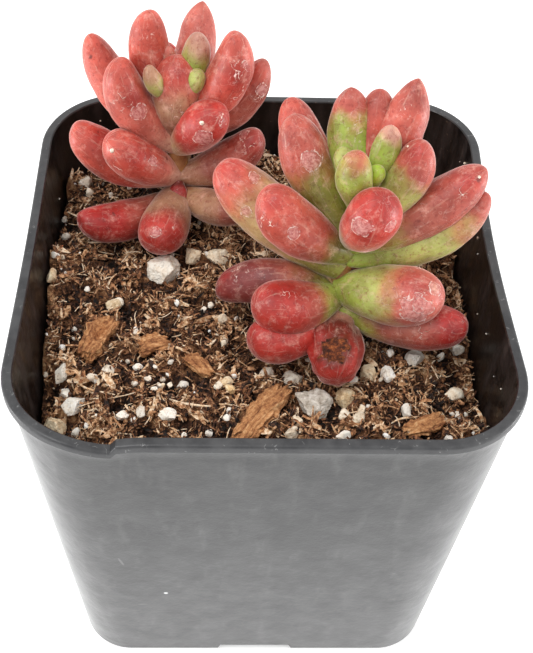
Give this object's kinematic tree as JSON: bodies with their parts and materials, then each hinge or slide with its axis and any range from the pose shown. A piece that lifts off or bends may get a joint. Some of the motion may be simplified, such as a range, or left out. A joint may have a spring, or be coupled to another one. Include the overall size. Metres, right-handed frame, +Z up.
{
  "type": "potted jelly bean plant",
  "caption": "Succulent with plump pink and green bean-shaped leaves on two short stems, in brown soil with bark and perlite, in a small square grey nursery pot.",
  "frame": {"origin": "middle of the pot's base, on the surface that it stands on", "axes": "+Z up, -Y towards the pot's front side, +X to the right seen from the front"},
  "size_m": [0.0646, 0.065, 0.0888],
  "materials": {
    "pot_plastic": "satin",
    "soil": "matte",
    "pink_leaf": "satin",
    "green_pink_leaf": "satin",
    "bark": "matte",
    "perlite": "matte"
  },
  "bodies": {
    "root": {"pot": "pot_plastic", "soil": "soil", "left_plant": "pink_leaf", "right_plant": "green_pink_leaf", "bark_chip_01": "bark", "bark_chip_02": "bark", "bark_chip_03": "bark", "bark_chip_04": "bark", "bark_chip_05": "bark", "perlite_01": "perlite", "perlite_02": "perlite", "perlite_03": "perlite", "perlite_04": "perlite", "perlite_05": "perlite", "perlite_06": "perlite", "perlite_07": "perlite", "perlite_08": "perlite", "perlite_09": "perlite", "perlite_10": "perlite"}
  },
  "joints": []
}
